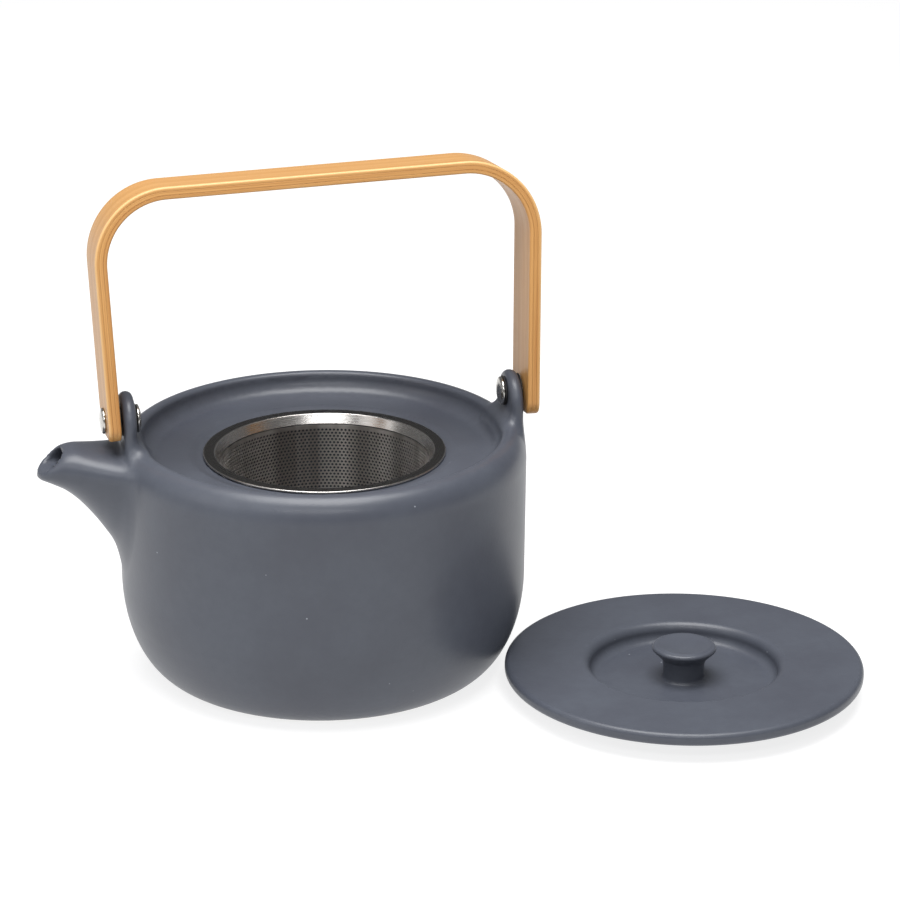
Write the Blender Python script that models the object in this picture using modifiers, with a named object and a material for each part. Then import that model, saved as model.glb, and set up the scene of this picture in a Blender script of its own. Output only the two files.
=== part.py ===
"""Teapot infuser: a stoneware pot with a bamboo bail, a steel infuser basket and a lid beside it.

The origin is the centre of the pot's flat base. +Z is up and the spout points along -X.
"""
from math import cos, pi, radians, sin

import bmesh
import bpy
from mathutils import Matrix, Vector

MM = 0.001
GAP = 0.3 * MM

# Pot body
BODY_R = 75.0 * MM
BODY_R_LOW = 74.5 * MM
FOOT_R = 54.7 * MM
CORNER_Z = 37.0 * MM
SHOULDER_Z = 80.5 * MM
CREST_R = 67.6 * MM
CREST_Z = 90.7 * MM
SEAT_R = 65.8 * MM
SEAT_COVE = 3.0 * MM
SEAT_Z = 83.0 * MM
REBATE_R = 47.3 * MM
REBATE_Z = 81.9 * MM
MOUTH_R = 42.3 * MM
WALL = 5.0 * MM
DECK_UNDER_Z = 77.3 * MM
BASE_THICK = 6.0 * MM
HAUNCH_R = 5.0 * MM

# Lugs and pivots
PIVOT_Z = 100.5 * MM
LUG_IN = 68.9 * MM
LUG_OUT = 73.7 * MM
LUG_ARCH_R = 11.5 * MM
LUG_TOP_SPOUT = 110.6 * MM
LUG_TOP_BACK = 108.2 * MM
LUG_FLARE = 4.5 * MM
LUG_FLARE_Z = 88.5 * MM
LUG_ROOT_Z = 84.0 * MM
LUG_HOLE_R = 2.5 * MM
LUG_EDGE = 1.2 * MM

# Spout: each section is (top x, top z, bottom x, bottom z, half width)
SPOUT = [
    (-71.5, 90.8, -71.5, 37.0, 19.5),
    (-73.5, 91.0, -74.2, 43.5, 18.8),
    (-76.0, 91.1, -77.0, 53.0, 17.8),
    (-79.0, 91.2, -80.6, 59.3, 16.6),
    (-82.5, 91.4, -85.0, 65.6, 15.2),
    (-86.0, 91.6, -89.9, 71.5, 13.6),
    (-89.0, 91.9, -94.7, 75.8, 12.0),
    (-90.8, 92.1, -99.6, 78.6, 10.6),
    (-92.2, 92.2, -104.6, 80.9, 9.2),
]
SPOUT_CAP = 7.5 * MM
BORE = [
    (-60.0, 74.0, -60.0, 48.0, 13.0),
    (-69.0, 76.0, -70.0, 50.5, 12.0),
    (-76.0, 80.0, -77.5, 58.5, 9.5),
    (-81.0, 84.0, -83.5, 67.0, 8.0),
    (-86.0, 87.6, -89.8, 75.0, 6.8),
    (-90.2, 89.8, -96.0, 79.6, 6.0),
    (-92.9, 90.0, -102.0, 81.4, 5.2),
    (-97.3, 94.6, -106.4, 86.0, 5.2),
]
BORE_CAP = 20.0 * MM
SPOUT_RING = 24

# Bail handle: a bent strip, drawn square to its own plane and then leant back
STRIP_W = 24.0 * MM
STRIP_T = 4.5 * MM
BAIL_HALF_SPAN = 79.4 * MM
BAIL_TOP = 86.2 * MM
BAIL_TOP_RISE = 1.3 * MM
BAIL_CORNER_R = 27.3 * MM
BAIL_SPLAY = radians(2.0)
BELOW_PIVOT_SPOUT = 6.3 * MM
BELOW_PIVOT_BACK = 8.0 * MM
BAIL_END_R = 5.0 * MM
BAIL_LEAN = radians(6.9)
PLIES = ("handle_ply_outer", "handle_ply_core", "handle_ply_inner")

# Pivot hardware
SCREW_HEAD_R = 4.75 * MM
SCREW_HEAD_T = 2.0 * MM
SCREW_HEAD_EDGE = 0.6 * MM
SCREW_BITE = 1.2 * MM
SHANK_R = 1.5 * MM
STRIP_HOLE_R = 1.8 * MM
POST_HEAD_R = 5.2 * MM
POST_HEAD_T = 1.7 * MM
POST_HEAD_EDGE = 0.5 * MM
BARREL_R = 2.2 * MM
BARREL_PROUD = 0.2 * MM
LEG_WASHER_R = 6.0 * MM
LEG_WASHER_T = 0.4 * MM
POST_WASHER_R = 5.5 * MM
POST_WASHER_T = 0.4 * MM

# Infuser
FLANGE_R = 44.5 * MM
FLANGE_TOP = 82.9 * MM
FLANGE_T = 0.7 * MM
FLANGE_EDGE = 0.3 * MM
COLLAR_TOP_R = 40.2 * MM
COLLAR_LOW_R = 38.2 * MM
COLLAR_T = 0.4 * MM
COLLAR_H = 3.6 * MM
COLLAR_BEND = 0.6 * MM
BASKET_TOP = 79.0 * MM
BASKET_BOTTOM = 22.0 * MM
BASKET_TOP_R = 38.6 * MM
BASKET_BOTTOM_R = 37.0 * MM
BASKET_T = 0.4 * MM
BASE_RING_H = 6.0 * MM
BASE_RING_T = 0.5 * MM
BASE_RING_WIDE = 3.0 * MM
BASE_LAP = 2.0 * MM
INFUSER_SIDE = 1.0 * MM

# Lid, lying on the table beside the pot
LID_R = 65.5 * MM
LID_TOP = 11.5 * MM
LID_T = 4.7 * MM
LID_EDGE = 1.9 * MM
DISH_R = 37.7 * MM
DISH_FLOOR_R = 31.0 * MM
DISH_FLOOR = 4.5 * MM
DISH_FOOT_R = 32.5 * MM
LID_HEEL = 1.2 * MM
KNOB_TOP = 17.6 * MM
KNOB_R = 11.7 * MM
KNOB_EDGE = 1.1 * MM
KNOB_HOLLOW = 0.8 * MM
KNOB_UNDER_R = 9.3 * MM
KNOB_UNDER_Z = 13.3 * MM
KNOB_NECK_R = 7.5 * MM
KNOB_NECK_Z = 9.2 * MM
KNOB_FILLET = 1.6 * MM
LID_X = 122.3 * MM
LID_Y = -58.5 * MM

ROUND_STEPS = 48
SMALL_STEPS = 16

COLOURS = {
    "glaze": ((0.105, 0.115, 0.14, 1), 0.45, 0.0),
    "bamboo": ((0.62, 0.36, 0.14, 1), 0.5, 0.0),
    "steel": ((0.62, 0.60, 0.57, 1), 0.25, 1.0),
    "chrome": ((0.75, 0.74, 0.72, 1), 0.12, 1.0),
    "rubber": ((0.02, 0.02, 0.02, 1), 0.7, 0.0),
}


def clear_scene():
    for obj in list(bpy.data.objects):
        bpy.data.objects.remove(obj, do_unlink=True)


def new_collection(name):
    collection = bpy.data.collections.new(name)
    bpy.context.scene.collection.children.link(collection)
    return collection


def make_material(name):
    colour, roughness, metallic = COLOURS[name]
    material = bpy.data.materials.new(name)
    material.use_nodes = True
    shader = material.node_tree.nodes["Principled BSDF"]
    shader.inputs["Base Color"].default_value = colour
    shader.inputs["Roughness"].default_value = roughness
    shader.inputs["Metallic"].default_value = metallic
    return material


def add_object(name, mesh, collection, material=None):
    obj = bpy.data.objects.new(name, mesh)
    collection.objects.link(obj)
    if material:
        mesh.materials.append(material)
    return obj


def as_cutter(obj):
    obj.hide_render = True
    obj.display_type = "WIRE"
    return obj


def arc(centre, radius, start, end, count):
    """Points of an arc in a plane, angles in degrees from the first axis."""
    points = []
    for i in range(count + 1):
        angle = radians(start + (end - start) * i / count)
        points.append((centre[0] + radius * cos(angle), centre[1] + radius * sin(angle)))
    return points


def ellipse_arc(centre, semi_axes, start, end, count):
    points = []
    for i in range(count + 1):
        angle = radians(start + (end - start) * i / count)
        points.append((centre[0] + semi_axes[0] * cos(angle), centre[1] + semi_axes[1] * sin(angle)))
    return points


def turned(name, profile, collection, material=None, closed=False, steps=ROUND_STEPS):
    """Turn a profile of (radius, height) points about the Z axis."""
    mesh = bpy.data.meshes.new(name)
    edges = [(i, i + 1) for i in range(len(profile) - 1)]
    if closed:
        edges.append((len(profile) - 1, 0))
    mesh.from_pydata([(r, 0, z) for r, z in profile], edges, [])
    obj = add_object(name, mesh, collection, material)
    screw = obj.modifiers.new("Screw", "SCREW")
    screw.axis = "Z"
    screw.angle = 2 * pi
    screw.steps = steps
    screw.render_steps = steps
    screw.use_merge_vertices = True
    screw.merge_threshold = 0.00001
    screw.use_smooth_shade = True
    return obj


def boolean(obj, other, operation):
    modifier = obj.modifiers.new(operation.title(), "BOOLEAN")
    modifier.operation = operation
    modifier.object = other


def prism(name, outline, half_depth, matrix, collection):
    """Extrude a flat outline by half_depth both ways and place it with matrix."""
    curve = bpy.data.curves.new(name, "CURVE")
    curve.dimensions = "2D"
    curve.fill_mode = "BOTH"
    curve.extrude = half_depth
    spline = curve.splines.new("POLY")
    spline.points.add(len(outline) - 1)
    for point, (u, v) in zip(spline.points, outline):
        point.co = (u, v, 0, 1)
    spline.use_cyclic_u = True
    drawn = bpy.data.objects.new(name + "_outline", curve)
    collection.objects.link(drawn)
    evaluated = drawn.evaluated_get(bpy.context.evaluated_depsgraph_get())
    mesh = bpy.data.meshes.new_from_object(evaluated)
    bpy.data.objects.remove(drawn)
    work = bmesh.new()
    work.from_mesh(mesh)
    bmesh.ops.remove_doubles(work, verts=work.verts, dist=0.00001)
    bmesh.ops.transform(work, matrix=matrix, verts=work.verts)
    bmesh.ops.recalc_face_normals(work, faces=work.faces)
    work.to_mesh(mesh)
    work.free()
    mesh.name = name
    return mesh


def loft(name, sections, cap, collection):
    """Join egg-shaped sections, each set by its top point, bottom point and half width in millimetres.

    A section is widest at cap below its top, or at its middle where it is shorter than twice the cap.
    """
    work = bmesh.new()
    rings = []
    for top_x, top_z, low_x, low_z, half_width in sections:
        top = Vector((top_x, 0, top_z)) * MM
        low = Vector((low_x, 0, low_z)) * MM
        height = (top - low).length
        upward = (top - low) / height
        above = min(cap, height / 2)
        centre = top - upward * above
        ring = []
        for i in range(SPOUT_RING):
            angle = 2 * pi * i / SPOUT_RING
            side = Vector((0, half_width * MM * sin(angle), 0))
            reach = above if cos(angle) > 0 else height - above
            ring.append(work.verts.new(centre + upward * reach * cos(angle) + side))
        rings.append(ring)
    for first, second in zip(rings, rings[1:]):
        for i in range(SPOUT_RING):
            j = (i + 1) % SPOUT_RING
            work.faces.new((first[i], first[j], second[j], second[i]))
    work.faces.new(rings[0])
    work.faces.new(rings[-1])
    bmesh.ops.recalc_face_normals(work, faces=work.faces)
    mesh = bpy.data.meshes.new(name)
    work.to_mesh(mesh)
    work.free()
    return as_cutter(add_object(name, mesh, collection))


def rod_along_x(name, radius, length, collection, sides=24):
    work = bmesh.new()
    turn = Matrix.Rotation(pi / 2, 4, "Y")
    bmesh.ops.create_cone(work, cap_ends=True, segments=sides, radius1=radius, radius2=radius,
                          depth=length, matrix=turn)
    mesh = bpy.data.meshes.new(name)
    work.to_mesh(mesh)
    work.free()
    return as_cutter(add_object(name, mesh, collection))


def pot_outer_profile():
    """From the middle of the mouth over the seat and rim and down the wall to the base."""
    profile = [(0, REBATE_Z), (REBATE_R, REBATE_Z), (REBATE_R, SEAT_Z)]
    profile += arc((SEAT_R - SEAT_COVE, SEAT_Z + SEAT_COVE), SEAT_COVE, -90, 0, 3)
    lip = CREST_R - SEAT_R
    profile += arc((CREST_R, CREST_Z - lip), lip, 180, 90, 3)
    rise = CREST_Z - SHOULDER_Z
    profile += ellipse_arc((CREST_R, SHOULDER_Z), (BODY_R - CREST_R, rise), 90, 0, 5)[1:]
    profile += ellipse_arc((FOOT_R, CORNER_Z), (BODY_R_LOW - FOOT_R, CORNER_Z), 0, -90, 7)
    profile.append((0, 0))
    return profile


def pot_cavity_profile():
    """The mouth and the inside, as a solid to be cut away."""
    inner = BODY_R - WALL
    profile = [(0, SEAT_Z + HAUNCH_R), (MOUTH_R, SEAT_Z + HAUNCH_R), (MOUTH_R, DECK_UNDER_Z)]
    profile += arc((inner - HAUNCH_R, DECK_UNDER_Z - HAUNCH_R), HAUNCH_R, 90, 0, 3)
    profile += ellipse_arc((FOOT_R - WALL, CORNER_Z), (inner - FOOT_R + WALL, CORNER_Z - BASE_THICK),
                           0, -90, 5)
    profile.append((0, BASE_THICK))
    return profile


def lug_outline(top_z):
    """A tongue with an arched top and flared feet, as (across, height)."""
    reach = LUG_ARCH_R + LUG_FLARE
    right_foot = [(reach, LUG_ROOT_Z)] + arc((reach, LUG_FLARE_Z + LUG_FLARE), LUG_FLARE, -90, -180, 4)
    left_foot = [(-u, v) for u, v in reversed(right_foot)]
    return right_foot + arc((0, top_z - LUG_ARCH_R), LUG_ARCH_R, 0, 180, 14) + left_foot


ACROSS_UP_OUT = Matrix(((0, 0, 1, 0), (1, 0, 0, 0), (0, 1, 0, 0), (0, 0, 0, 1)))
ALONG_UP = Matrix(((1, 0, 0, 0), (0, 0, -1, 0), (0, 1, 0, 0), (0, 0, 0, 1)))


def make_pot(collection, cutters, glaze):
    pot = turned("pot_body", pot_outer_profile(), collection, glaze)
    boolean(pot, loft("spout_form", SPOUT, SPOUT_CAP, cutters), "UNION")
    half = (LUG_OUT - LUG_IN) / 2
    for side, top_z, where in ((-1, LUG_TOP_SPOUT, "spout"), (1, LUG_TOP_BACK, "back")):
        name = "lug_form_" + where
        shift = Matrix.Translation((side * (LUG_IN + half), 0, 0))
        mesh = prism(name, lug_outline(top_z), half, shift @ ACROSS_UP_OUT, cutters)
        lug = as_cutter(add_object(name, mesh, cutters))
        bevel = lug.modifiers.new("Bevel", "BEVEL")
        bevel.width = LUG_EDGE
        bevel.segments = 2
        bevel.limit_method = "ANGLE"
        bevel.angle_limit = radians(50)
        boolean(pot, lug, "UNION")
    cavity = as_cutter(turned("cavity_form", pot_cavity_profile(), cutters))
    boolean(pot, cavity, "DIFFERENCE")
    boolean(pot, loft("bore_form", BORE, BORE_CAP, cutters), "DIFFERENCE")
    holes = rod_along_x("lug_hole_form", LUG_HOLE_R, 2.4 * BODY_R, cutters)
    holes.location.z = PIVOT_Z
    boolean(pot, holes, "DIFFERENCE")
    return pot


def lid_profile():
    """From the middle of the knob's top out to the rim and back under to the middle."""
    under = LID_TOP - LID_T
    profile = [(0, KNOB_TOP - KNOB_HOLLOW), (0.6 * KNOB_R, KNOB_TOP - 0.6 * KNOB_HOLLOW)]
    profile += arc((KNOB_R - KNOB_EDGE, KNOB_TOP - KNOB_EDGE), KNOB_EDGE, 90, -30, 3)
    profile.append((KNOB_UNDER_R, KNOB_UNDER_Z))
    flare = (KNOB_UNDER_R - KNOB_NECK_R, KNOB_UNDER_Z - KNOB_NECK_Z)
    profile += ellipse_arc((KNOB_UNDER_R, KNOB_NECK_Z), flare, 115, 180, 2)
    profile += arc((KNOB_NECK_R + KNOB_FILLET, DISH_FLOOR + KNOB_FILLET), KNOB_FILLET, 180, 270, 2)
    wall = DISH_R - DISH_FLOOR_R
    rise = (LID_TOP - DISH_FLOOR) / 2
    profile += ellipse_arc((DISH_FLOOR_R, DISH_FLOOR + rise), (wall / 2, rise), -90, 0, 3)
    profile += ellipse_arc((DISH_R, LID_TOP - rise), (wall / 2, rise), 180, 90, 3)[1:]
    profile += arc((LID_R - LID_EDGE, LID_TOP - LID_EDGE), LID_EDGE, 90, 0, 3)
    profile += arc((LID_R - LID_EDGE, under + LID_EDGE), LID_EDGE, 0, -90, 3)
    profile += [(DISH_R + LID_EDGE, under), (DISH_R, under - LID_EDGE / 2)]
    profile += [(DISH_FOOT_R + 2 * LID_HEEL, LID_HEEL), (DISH_FOOT_R, 0), (0, 0)]
    return profile


def make_lid(collection, glaze):
    lid = turned("lid", lid_profile(), collection, glaze)
    lid.location = (LID_X, LID_Y, 0)
    return lid


def bail_path(inset):
    """The strip's centre-plane outline at a depth inset below its outer face, from the pivot axis."""
    half = []
    for side in (-1, 1):
        top = BAIL_TOP + side * BAIL_TOP_RISE
        up = Vector((side * sin(BAIL_SPLAY), cos(BAIL_SPLAY)))
        outward = Vector((side * cos(BAIL_SPLAY), -sin(BAIL_SPLAY)))
        pivot = Vector((side * BAIL_HALF_SPAN, 0))
        centre_z = top - BAIL_CORNER_R
        centre_x = (pivot.dot(outward) - BAIL_CORNER_R - centre_z * outward.y) / outward.x
        face = pivot - outward * inset
        below = BELOW_PIVOT_SPOUT if side < 0 else BELOW_PIVOT_BACK
        end = face + up * ((-below - face.y) / up.y)
        points = [tuple(end)]
        count = 10
        sweep = radians(90) + BAIL_SPLAY
        for i in range(count + 1):
            angle = -BAIL_SPLAY + sweep * i / count
            reach = BAIL_CORNER_R - inset
            points.append((centre_x + side * reach * cos(angle), centre_z + reach * sin(angle)))
        half.append(points)
    return half[0] + half[1][::-1]


def leg_end_outline(below):
    """A leg's lower end seen along X, with rounded corners."""
    half = STRIP_W / 2
    low = -below + BAIL_END_R
    outline = arc((-half + BAIL_END_R, low), BAIL_END_R, 180, 270, 4)
    return outline + arc((half - BAIL_END_R, low), BAIL_END_R, 270, 360, 4)


def strip_form(cutters):
    """What the bent plies are trimmed to: straight edges and a rounded end, lower on the back leg."""
    half = STRIP_W / 2
    top = BAIL_TOP + 10 * MM
    outline = leg_end_outline(BELOW_PIVOT_BACK) + [(half, top), (-half, top)]
    mesh = prism("strip_form", outline, 1.4 * BAIL_HALF_SPAN, ACROSS_UP_OUT, cutters)
    form = as_cutter(add_object("strip_form", mesh, cutters))
    past = half + 2 * MM
    drop = -3 * BELOW_PIVOT_BACK
    outline = leg_end_outline(BELOW_PIVOT_SPOUT)
    outline += [(past, outline[-1][1]), (past, drop), (-past, drop), (-past, outline[0][1])]
    shift = Matrix.Translation((-BAIL_HALF_SPAN, 0, 0))
    mesh = prism("spout_leg_end_form", outline, BAIL_HALF_SPAN / 2, shift @ ACROSS_UP_OUT, cutters)
    return form, as_cutter(add_object("spout_leg_end_form", mesh, cutters))


def make_handle(collection, cutters, bamboo, pivot):
    form, spout_end = strip_form(cutters)
    holes = rod_along_x("strip_hole_form", STRIP_HOLE_R, 2.4 * BODY_R, cutters)
    for cutter in (form, spout_end, holes):
        cutter.parent = pivot
    ply_t = (STRIP_T - 2 * GAP) / len(PLIES)
    for index, name in enumerate(PLIES):
        inset = index * (ply_t + GAP)
        outline = bail_path(inset) + bail_path(inset + ply_t)[::-1]
        mesh = prism(name, outline, STRIP_W, ALONG_UP, cutters)
        ply = add_object(name, mesh, collection, bamboo)
        ply.parent = pivot
        boolean(ply, form, "INTERSECT")
        boolean(ply, spout_end, "DIFFERENCE")
        boolean(ply, holes, "DIFFERENCE")


def turned_along_x(name, profile, collection, material, side, closed=False):
    """A small turned piece whose axis is X; profile heights are distances from the pot's centre."""
    obj = turned(name, profile, collection, material, closed, steps=SMALL_STEPS)
    obj.rotation_euler = (0, side * pi / 2, 0)
    return obj


def make_pivot(side, where, collection, materials, pivot):
    """Screw, post and two washers at one end of the bail."""
    head_z = BAIL_HALF_SPAN + GAP + SCREW_HEAD_R * sin(BAIL_SPLAY)
    tip_z = LUG_IN + SCREW_BITE
    dome_t = SCREW_HEAD_T - SCREW_HEAD_EDGE
    dome = ellipse_arc((0, head_z + SCREW_HEAD_EDGE), (SCREW_HEAD_R, dome_t), 90, 0, 4)
    profile = dome + [(SCREW_HEAD_R, head_z), (SHANK_R, head_z), (SHANK_R, tip_z), (0, tip_z)]
    screw = turned_along_x("pivot_screw_" + where, profile, collection, materials["chrome"], side)
    screw.parent = pivot

    washer_top = LUG_IN - GAP
    head_top = washer_top - POST_WASHER_T - GAP
    bore_r = SHANK_R + GAP
    barrel_end = LUG_OUT + BARREL_PROUD
    floor = tip_z - GAP
    dome_t = POST_HEAD_T - POST_HEAD_EDGE
    dome = ellipse_arc((0, head_top - POST_HEAD_EDGE), (POST_HEAD_R, dome_t), 0, -90, 4)
    profile = [(0, floor), (bore_r, floor), (bore_r, barrel_end), (BARREL_R, barrel_end),
               (BARREL_R, head_top), (POST_HEAD_R, head_top)] + dome
    post = turned_along_x("pivot_post_" + where, profile, collection, materials["chrome"], side)
    post.parent = pivot

    ring_in = BARREL_R + GAP
    low = LUG_OUT + GAP
    for name, outer, bottom, thick in (("leg_washer_", LEG_WASHER_R, low, LEG_WASHER_T),
                                       ("post_washer_", POST_WASHER_R, washer_top - POST_WASHER_T,
                                        POST_WASHER_T)):
        profile = [(ring_in, bottom + thick), (outer, bottom + thick), (outer, bottom), (ring_in, bottom)]
        washer = turned_along_x(name + where, profile, collection, materials["rubber"], side, closed=True)
        washer.location.z = PIVOT_Z


def basket_radius(z):
    """The outer radius of the tapered basket at a height."""
    share = (z - BASKET_BOTTOM) / (BASKET_TOP - BASKET_BOTTOM)
    return BASKET_BOTTOM_R + (BASKET_TOP_R - BASKET_BOTTOM_R) * share


def rim_profile():
    """Flat flange on top with a short collar sloping down and in from it."""
    under = FLANGE_TOP - FLANGE_T
    low = FLANGE_TOP - COLLAR_H
    bend = COLLAR_BEND
    slope = (COLLAR_TOP_R - COLLAR_LOW_R) / COLLAR_H
    return [(COLLAR_TOP_R - bend * slope, FLANGE_TOP - bend), (COLLAR_TOP_R + bend, FLANGE_TOP),
            (FLANGE_R - FLANGE_EDGE, FLANGE_TOP), (FLANGE_R, FLANGE_TOP - FLANGE_EDGE),
            (FLANGE_R, under), (COLLAR_TOP_R + bend + COLLAR_T, under),
            (COLLAR_LOW_R + COLLAR_T, low), (COLLAR_LOW_R, low)]


def base_ring_profile(wall_low):
    """A pressed ring that laps the foot of the wall and turns in under the base."""
    outer = basket_radius(wall_low) + GAP + BASE_RING_T
    top = BASKET_BOTTOM + BASE_RING_H
    inner = BASKET_BOTTOM_R - BASE_RING_WIDE
    floor = BASKET_BOTTOM + BASE_RING_T
    bend = 2 * BASE_RING_T
    return [(outer - BASE_RING_T, top), (outer, top), (outer, BASKET_BOTTOM + bend),
            (outer - bend, BASKET_BOTTOM), (inner, BASKET_BOTTOM), (inner, floor),
            (outer - bend - GAP, floor), (outer - BASE_RING_T, floor + bend)]


def make_infuser(collection, steel):
    pieces = [turned("infuser_rim", rim_profile(), collection, steel, closed=True)]

    wall_low = BASKET_BOTTOM + BASE_RING_H - BASE_LAP
    top_r = basket_radius(BASKET_TOP)
    low_r = basket_radius(wall_low)
    wall = [(top_r - BASKET_T, BASKET_TOP), (top_r, BASKET_TOP), (low_r, wall_low),
            (low_r - BASKET_T, wall_low)]
    pieces.append(turned("infuser_wall", wall, collection, steel, closed=True))
    pieces.append(turned("infuser_base_ring", base_ring_profile(wall_low), collection, steel, closed=True))

    base_low = BASKET_BOTTOM + BASE_RING_T + GAP
    base_r = BASKET_BOTTOM_R - 2 * BASKET_T
    base = [(0, base_low + BASKET_T), (base_r, base_low + BASKET_T), (base_r, base_low), (0, base_low)]
    pieces.append(turned("infuser_base", base, collection, steel))
    for piece in pieces:
        piece.location.x = INFUSER_SIDE


def main():
    clear_scene()
    collection = new_collection("teapot_infuser")
    cutters = new_collection("cutters")
    materials = {name: make_material(name) for name in COLOURS}
    make_pot(collection, cutters, materials["glaze"])
    make_lid(collection, materials["glaze"])
    pivot = bpy.data.objects.new("bail_pivot", None)
    collection.objects.link(pivot)
    pivot.location.z = PIVOT_Z
    pivot.rotation_euler.x = -BAIL_LEAN
    make_handle(collection, cutters, materials["bamboo"], pivot)
    for side, where in ((-1, "spout"), (1, "back")):
        make_pivot(side, where, collection, materials, pivot)
    make_infuser(collection, materials["steel"])


main()
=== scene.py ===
"""The teapot infuser's looks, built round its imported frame.

Shapes are worked out in millimetres in the row frame: the origin is the centre of the pot's base, +Z is
up and the spout points along -X. Every piece is turned into metres when its mesh is made.
"""

from math import ceil, cos, degrees, pi, radians, sin, sqrt, tan

import bmesh
import bpy
import numpy as np
from mathutils import Matrix, Vector
from mathutils.geometry import delaunay_2d_cdt


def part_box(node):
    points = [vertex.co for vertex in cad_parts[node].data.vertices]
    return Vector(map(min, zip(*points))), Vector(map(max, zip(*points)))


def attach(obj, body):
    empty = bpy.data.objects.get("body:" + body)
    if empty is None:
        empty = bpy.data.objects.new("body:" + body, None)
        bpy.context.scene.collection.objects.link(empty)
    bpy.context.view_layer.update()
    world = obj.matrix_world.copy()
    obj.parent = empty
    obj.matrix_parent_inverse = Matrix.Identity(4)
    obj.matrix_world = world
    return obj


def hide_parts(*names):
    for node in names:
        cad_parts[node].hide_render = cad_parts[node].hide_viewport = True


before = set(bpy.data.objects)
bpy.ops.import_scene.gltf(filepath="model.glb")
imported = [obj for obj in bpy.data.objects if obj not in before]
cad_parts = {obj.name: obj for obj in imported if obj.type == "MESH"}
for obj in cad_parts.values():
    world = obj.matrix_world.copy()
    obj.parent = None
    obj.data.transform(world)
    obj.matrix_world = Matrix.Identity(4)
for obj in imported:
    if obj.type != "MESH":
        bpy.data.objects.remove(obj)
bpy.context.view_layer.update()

MM = 0.001

# Pot body
BODY_R = 75.0
BODY_R_LOW = 74.5
FOOT_R = 54.7
CORNER_Z = 37.0
SHOULDER_Z = 80.5
CREST_R = 67.6
CREST_Z = 90.7
SEAT_R = 65.8
COVE_WIDE = 6.0
SEAT_Z = 83.0
REBATE_R = 47.3
REBATE_Z = 81.9
REBATE_HALF = 1.5
REBATE_BEND_R = 4.0
MOUTH_R = 42.3
WALL = 5.0
DECK_UNDER_Z = 77.3
HAUNCH_R = 5.0
BASE_THICK = 6.0
PAST_AXIS = -50.0
MOUTH_CUT_TOP = SEAT_Z + 20
CAVITY_EDGE = 1.2

# Lugs, -1 on the spout's side and 1 at the back
LUG_IN = 68.9
LUG_OUT = 73.7
LUG_ARCH_R = 11.5
LUG_TOPS = {-1: 110.6, 1: 107.9}
LUG_LOW = 84.0
LUG_EDGE_R = 2.3
LUG_FILLET = 6.5
LUG_FILLET_OUTSIDE = 2.6
LUG_FILLET_CHANGE = (-1.0, 0.5)
LUG_SPREAD = 3.5
LUG_SPREAD_TOP = 95.0
LUG_SPREAD_LOW = 86.0
LUG_HOLE_R = 2.5
LUG_HOLE_EDGE = 0.6

# Spout: each section is (top x, top z, bottom x, bottom z, half width)
SPOUT = [
    (-62.0, 89.4, -62.0, 22.0, 21.0),
    (-71.5, 89.8, -71.5, 37.0, 19.5),
    (-73.5, 90.0, -74.2, 43.5, 18.8),
    (-76.0, 90.2, -77.0, 53.0, 17.8),
    (-79.0, 90.5, -80.6, 59.3, 16.6),
    (-82.5, 90.9, -85.0, 65.6, 15.2),
    (-86.0, 91.4, -89.9, 71.5, 13.6),
    (-89.0, 91.9, -94.7, 75.8, 12.0),
    (-90.8, 92.1, -99.6, 78.6, 10.6),
    (-92.2, 92.2, -104.6, 80.9, 9.2),
    (-93.4, 92.5, -109.4, 83.2, 7.8),
]
SPOUT_CAP = 7.5
SPOUT_CAP_POWER = 2.4
SPOUT_KEEL_X = (-100.0, -82.0)
SPOUT_KEEL_POWERS = (2.0, 1.5)
SPOUT_WALL_MOUTH = 3.1
SPOUT_WALL_ROOT = 5.5
SPOUT_WALL_X = (-98.0, -75.0)
SPOUT_FILLET = 4.0
SPOUT_START_R = 69.0
SPOUT_START_EDGE = 1.0
MOUTH_TOP = (-92.2, 92.2)
MOUTH_LOW = (-104.6, 80.9)
MOUTH_PROUD = 1.3
MOUTH_EDGE = 3.2
BORE_EDGE = 1.6
BORE_CORNER = 2.0
BORE_START_X = -64.0
BORE_HALF_W = 12.0
BORE_ROOF = (-69.0, 76.0)
BORE_ROOF_RISE = 0.65
BORE_FLOOR_X = (-104.0, -90.0, -80.0)
BORE_FLOOR_Z = (84.0, 83.6, 66.0)

# Bail
STRIP_W = 24.0
STRIP_T = 4.5
STRIP_HOLE_R = 1.8
BAIL_HALF_SPAN = 79.4
BAIL_TOP = 86.2
BAIL_TOP_RISE = 1.3
BAIL_CORNER_R = 27.3
BAIL_SPLAY = radians(2.0)
BELOW_PIVOT = {-1: 6.3, 1: 8.0}
BAIL_END_R = 5.0
BAIL_LEAN = radians(6.9)
PLIES = ("handle_ply_outer", "handle_ply_core", "handle_ply_inner")
GLUE_LINE = 0.05
STRIP_EDGE_R = 0.95
STRIP_END_EDGE_R = 1.2
PLY_EDGE_R = 0.1
THICK_TO_EDGE = 2.1
DRILL_REACH = 90.0
DRILL_SIDES = 32
LEG_STEPS = 24
CORNER_STEPS = 32
BAR_STEPS = 41

# Pivot hardware
SCREW_HEAD_R = 4.75
SCREW_HEAD_T = 1.6
HEAD_RIM = 0.5
SHANK_R = 1.5
SHANK_TIP = LUG_IN + 1.2
POST_HEAD_R = 5.2
POST_HEAD_T = 1.7
BARREL_R = 2.2
BARREL_PROUD = 0.2
LEG_WASHER_R = 6.0
LEG_WASHER_T = 0.4
POST_WASHER_R = 5.5
POST_WASHER_T = 0.4
WASHER_EDGE_SHARE = 0.4
GAP = 0.3

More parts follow.
